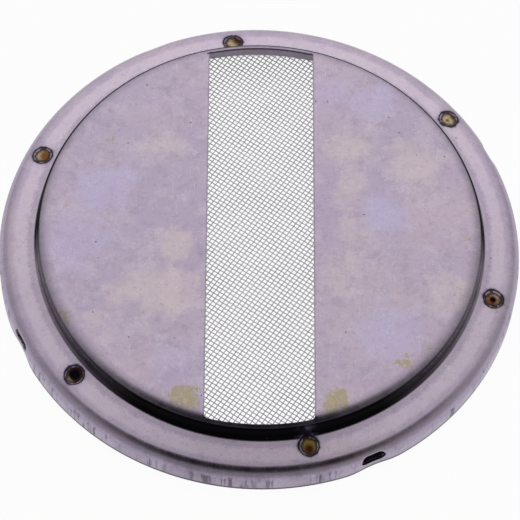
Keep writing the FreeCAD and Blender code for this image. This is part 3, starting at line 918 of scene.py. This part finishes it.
# %% Rings over the floor, then the weld over the sheet
slope_mask = add(tree, "ValToRGB", {0: rings["floor"]}, [(0.37, 0.0), (0.42, 1.0)]).outputs[0]
scorch_mask = add(tree, "ValToRGB", {0: rings["floor"]}, [
    (0.22, 0.0), (0.34, 0.8), (0.38, 1.0), (0.43, 0.0),
]).outputs[0]
line_mask = add(tree, "ValToRGB", {0: rings["outline"]}, [
    (0.44, 0.0), (0.47, 1.0), (0.505, 1.0), (0.54, 0.0),
]).outputs[0]
slope_tint = add(
    tree, "Mix", {0: mask["crescent"], 6: "#3b3146", 7: "#92889d"}, data_type="RGBA"
).outputs[2]
weld_tint = floor
for amount, shade in (
    (scorch_mask, "#34231f"), (slope_mask, slope_tint), (line_mask, "#2c222b"),
):
    weld_tint = add(
        tree, "Mix", {0: amount, 6: weld_tint, 7: shade}, data_type="RGBA"
    ).outputs[2]
hot = add(tree, "ValToRGB", {0: rings["outline"]}, [
    (0.0, 1.0), (0.50, 1.0), (0.54, 0.5), (0.60, 0.12), (0.85, 0.0),
]).outputs[0]
colour = add(tree, "Mix", {0: hot, 6: colour, 7: weld_tint}, data_type="RGBA").outputs[2]
tree.links.new(colour, skin.inputs["Base Color"])
print("weld tint mixed in:", len(tree.nodes), "nodes")

# %% [markdown]
# ### Gloss and relief of the sheet
#
# Rolled steel is smoother where it is clean and duller under a film, so the same clouds
# drive the roughness. The rim was dragged through the die and is the dullest. The relief is
# tiny: a slow sway of the pressed sheet, a faint cloud and a fine grain.

# %% Roughness and bumps
gloss = add(tree, "MapRange", {
    "Value": field["blotch"][0], "From Min": 0.3, "From Max": 0.7, "To Min": 0.2, "To Max": 0.32,
}).outputs[0]
for extra, source in ((0.2, hot), (0.1, mask["skirt"]), (0.3, mask["wall_painted_shade"])):
    gloss = add(tree, "Math", {0: source, 1: extra, 2: gloss}, operation="MULTIPLY_ADD").outputs[0]
tree.links.new(gloss, skin.inputs["Roughness"])
normal = None
for height, depth in (
    (field["sway"][0], 0.06), (field["cloud"][0], 0.006), (field["grain"][0], 0.004),
):
    inputs = {"Strength": 1.0, "Distance": depth * MM, "Height": height}
    if normal:
        inputs["Normal"] = normal
    normal = add(tree, "Bump", inputs).outputs[0]
tree.links.new(normal, skin.inputs["Normal"])
print("steel sheet:", len(tree.nodes), "nodes")

# %% [markdown]
# ## Wire, ring and nuggets
#
# The wire is drawn steel: smooth and bright, with a thin dull film here and there. The ring
# is the same sheet as the cover but unseen and cleaner. The nuggets are steel that melted
# and froze again, dark and matt. All three are one recipe: steel with clouds of a film.


# %% Steel with clouds of a film
def filmed_steel(name, base, film, size, roughness):
    """Steel with patches of a darker film of a given size in millimetres."""
    material, tree, skin = new_material(name, Metallic=1.0)
    place = add(tree, "TexCoord").outputs["Object"]
    cloud, grain = [
        add(tree, "TexNoise", {"Vector": place, "Scale": 1 / (scale * MM), "Detail": 4.0}).outputs[0]
        for scale in (size, 0.4)
    ]
    amount = add(tree, "ValToRGB", {0: cloud}, [(0.35, 0.0), (0.65, 1.0)]).outputs[0]
    mixed = add(tree, "Mix", {0: amount, 6: base, 7: film}, data_type="RGBA").outputs[2]
    tree.links.new(mixed, skin.inputs["Base Color"])
    sheen = add(tree, "MapRange", {
        "Value": cloud, "From Min": 0.3, "From Max": 0.7, "To Min": roughness - 0.05,
        "To Max": roughness + 0.08,
    }).outputs[0]
    tree.links.new(sheen, skin.inputs["Roughness"])
    relief = add(tree, "Bump", {"Strength": 1.0, "Distance": 0.003 * MM, "Height": grain})
    tree.links.new(relief.outputs[0], skin.inputs["Normal"])
    print(name, "has", len(tree.nodes), "nodes")
    return material


drawn_wire = filmed_steel("drawn_steel_wire", "#b9b3be", "#aaa4b0", 6, 0.32)
ring_steel = filmed_steel("cold_rolled_ring_steel", "#ab9fb1", "#a096a0", 9, 0.3)
nugget_steel = filmed_steel("resolidified_weld_steel", "#5d5248", "#3b332f", 1.2, 0.5)

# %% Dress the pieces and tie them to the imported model
for piece, material, node, slot in (
    (cover, steel, "strainer_cover", "cover_steel"),
    (warp, drawn_wire, "wire_screen", "wire_cloth"),
    (weft, drawn_wire, "wire_screen", "wire_cloth"),
):
    piece.data.materials.clear()
    piece.data.materials.append(material)
    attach(piece, "root")
    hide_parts(node)
for node, material in (("clamping_ring", ring_steel), ("weld_nuggets", nugget_steel)):
    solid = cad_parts[node]
    if not solid.material_slots:
        solid.data.materials.append(material)
    for holder in solid.material_slots:
        holder.material = material
print("pieces:", [piece.name for piece in (cover, warp, weft)])

# %% [markdown]
# ## Studio
#
# A white table, a wide soft light behind and above, and a room that stays dark behind the
# camera. Polished steel shows its surroundings more than its own colour: the dark room is
# what draws the black line along the bend of the rim. The table glows where it is seen,
# except in a narrow ring under the rim, which is painted dark as its contact shadow and,
# towards the back, glows a little as painted light. From below it is
# clear, so that the inside of the strainer can be looked at too.

# %% Table, just under the rim
TABLE_SIDE = 3.0
TABLE_GAP = 0.02
start()
bpy.ops.mesh.primitive_plane_add(size=TABLE_SIDE, location=(0, 0, -TABLE_GAP * MM))
table = bpy.context.object
table.name = "table"
bpy.ops.object.transform_apply(location=True, rotation=False, scale=False)
print("table, m:", [round(side, 2) for side in table.dimensions])

# %% Table: its ring of shade under the rim, in steps of the distance from the axis
paper, tree, skin = new_material("white_table", Roughness=0.9)
spot = add(tree, "TexCoord").outputs["Object"]
distance = add(tree, "VectorMath", {0: spot}, operation="LENGTH").outputs["Value"]
SHADE_FROM = 44.0
SHADE_TO = 54.0
SHADE_STEPS = (45.8, 46.8, 49.1, 49.6)
ring_place = add(tree, "MapRange", {
    "Value": distance, "From Min": SHADE_FROM * MM, "From Max": SHADE_TO * MM,
}).outputs[0]
GLOW = 0.955
glowing, hidden, paint = [
    add(tree, "ValToRGB", {0: ring_place}, [
        ((radius - SHADE_FROM) / (SHADE_TO - SHADE_FROM), amount)
        for radius, amount in zip(SHADE_STEPS, amounts)
    ]).outputs[0]
    for amounts in (
        (1.0, 0.0, 0.0, GLOW), (0.0, 1.0, 1.0, 0.0), ("#f2f1f3", "#141216", "#141216", "#f2f1f3"),
    )
]
tree.links.new(paint, skin.inputs["Base Color"])
print("shade under the rim from", SHADE_STEPS[0], "to", SHADE_STEPS[-1], "mm")

# %% Table: white where it is seen or mirrored, and still shaded by the object
path = add(tree, "LightPath").outputs
seen = path["Is Camera Ray"]
for other in ("Is Glossy Ray", "Is Transmission Ray"):
    seen = add(tree, "Math", {0: seen, 1: path[other]}, operation="MAXIMUM").outputs[0]
# Painted light: the dark ring under the rim glows a little, up to 0.3, from the front towards the
# back.
GLOW_BEHIND_FROM = -38.0
GLOW_BEHIND_TO = -30.0
back = add(tree, "SeparateXYZ", {0: spot}).outputs["Y"]
painted_glow_behind = add(tree, "MapRange", {
    "Value": back, "From Min": GLOW_BEHIND_FROM * MM, "From Max": GLOW_BEHIND_TO * MM, "To Min": 0.0,
    "To Max": 0.3,
}).outputs[0]
share = add(tree, "Math", {0: hidden, 1: painted_glow_behind, 2: glowing}, operation="MULTIPLY_ADD").outputs[0]
share = add(tree, "Math", {0: seen, 1: share}, operation="MULTIPLY").outputs[0]
glow = add(tree, "Emission", {"Color": "#ffffff", "Strength": 1.0}).outputs[0]
top = add(tree, "MixShader", {0: share, 1: skin.outputs[0], 2: glow}).outputs[0]
below = add(tree, "NewGeometry").outputs["Backfacing"]
clear = add(tree, "BsdfTransparent").outputs[0]
surface = add(tree, "MixShader", {0: below, 1: top, 2: clear}).outputs[0]
tree.links.new(surface, tree.nodes["Material Output"].inputs["Surface"])
table.data.materials.append(paper)
table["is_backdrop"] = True
print("table glow share:", GLOW)

# %% Room: brightness by direction, white to the camera
# The angle goes from the front at 0 over the zenith at 90 to the back at 180 degrees
ROOM = (
    (0, 0.45), (24, 0.45), (34, 0.35), (42, 0.15), (52, 0.01), (80, 0.01), (86, 0.1),
    (90, 0.4), (94, 0.85), (98, 1.02), (108, 0.92), (117, 0.93), (122, 1.08), (143, 1.16),
    (162, 1.15), (180, 1.0),
)
SIDES = ((0.0, 0.0), (0.36, 0.0), (0.6, 0.45), (0.8, 0.85), (1.0, 1.0))
SIDE_LIGHT = (0.62, 0.62, 0.62, 1)
world = bpy.data.worlds.new("studio")
bpy.context.scene.world = world
world.use_nodes = True
tree = world.node_tree
axes = add(tree, "SeparateXYZ", {0: add(tree, "TexCoord").outputs["Generated"]}).outputs
front = add(tree, "Math", {0: axes["Y"], 1: -1.0}, operation="MULTIPLY").outputs[0]
sweep = add(tree, "Math", {0: axes["Z"], 1: front}, operation="ARCTAN2").outputs[0]
over = add(tree, "MapRange", {"Value": sweep, "From Min": 0.0, "From Max": math.pi}).outputs[0]
room = add(tree, "ValToRGB", {0: over}, [(angle / 180, value) for angle, value in ROOM])
aside = add(tree, "Math", {0: axes["X"]}, operation="ABSOLUTE").outputs[0]
beside = add(tree, "ValToRGB", {0: aside}, SIDES)
room = add(tree, "Mix", {
    0: beside.outputs[0], 6: room.outputs[0], 7: SIDE_LIGHT,
}, data_type="RGBA").outputs[2]
direct = add(tree, "LightPath").outputs["Is Camera Ray"]
room = add(tree, "Mix", {0: direct, 6: room, 7: (1, 1, 1, 1)}, data_type="RGBA").outputs[2]
tree.links.new(room, tree.nodes["Background"].inputs["Color"])
bpy.context.scene.view_settings.view_transform = "Standard"
print("room brightness from", min(v for _, v in ROOM), "to", max(v for _, v in ROOM))

# %% [markdown]
# ## Camera
#
# The camera was fitted to the outlines of the photograph: a long lens about half a metre
# away, looking down steeply, turned a little round the axis and rolled a little.

# %% Place the camera
ELEVATION = 60.3
AZIMUTH = -2.256
ROLL = 2.872
DISTANCE = 539.37
AIM = (0.22, -4.74)
AIM_HEIGHT = 6.2
FOCAL_LENGTH = 195.94
turn = Matrix.Rotation(math.radians(AZIMUTH), 3, "Z")
look = turn @ Matrix.Rotation(math.radians(90 - ELEVATION), 3, "X")
aim = turn @ Vector((*AIM, 0)) + Vector((0, 0, AIM_HEIGHT))
eye = aim + look @ Vector((0, 0, DISTANCE))
lens = bpy.data.cameras.new("camera")
lens.sensor_width = 36
lens.lens = FOCAL_LENGTH
lens.clip_start = 0.01
camera = bpy.data.objects.new("camera", lens)
bpy.context.scene.collection.objects.link(camera)
rolled = (look @ Matrix.Rotation(math.radians(ROLL), 3, "Z")).to_4x4()
camera.matrix_world = Matrix.Translation(eye * MM) @ rolled
bpy.context.scene.camera = camera
print("camera at, mm:", [round(value, 1) for value in eye])

# %% Work out both boxes and print their sizes
start()
visual_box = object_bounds()
boxes = {"cad": [list(c) for c in cad_box], "visual": [list(c) for c in visual_box]}
for name, box in boxes.items():
    print(name, "box, mm:", [round((b - a) / MM, 2) for a, b in zip(*box)])
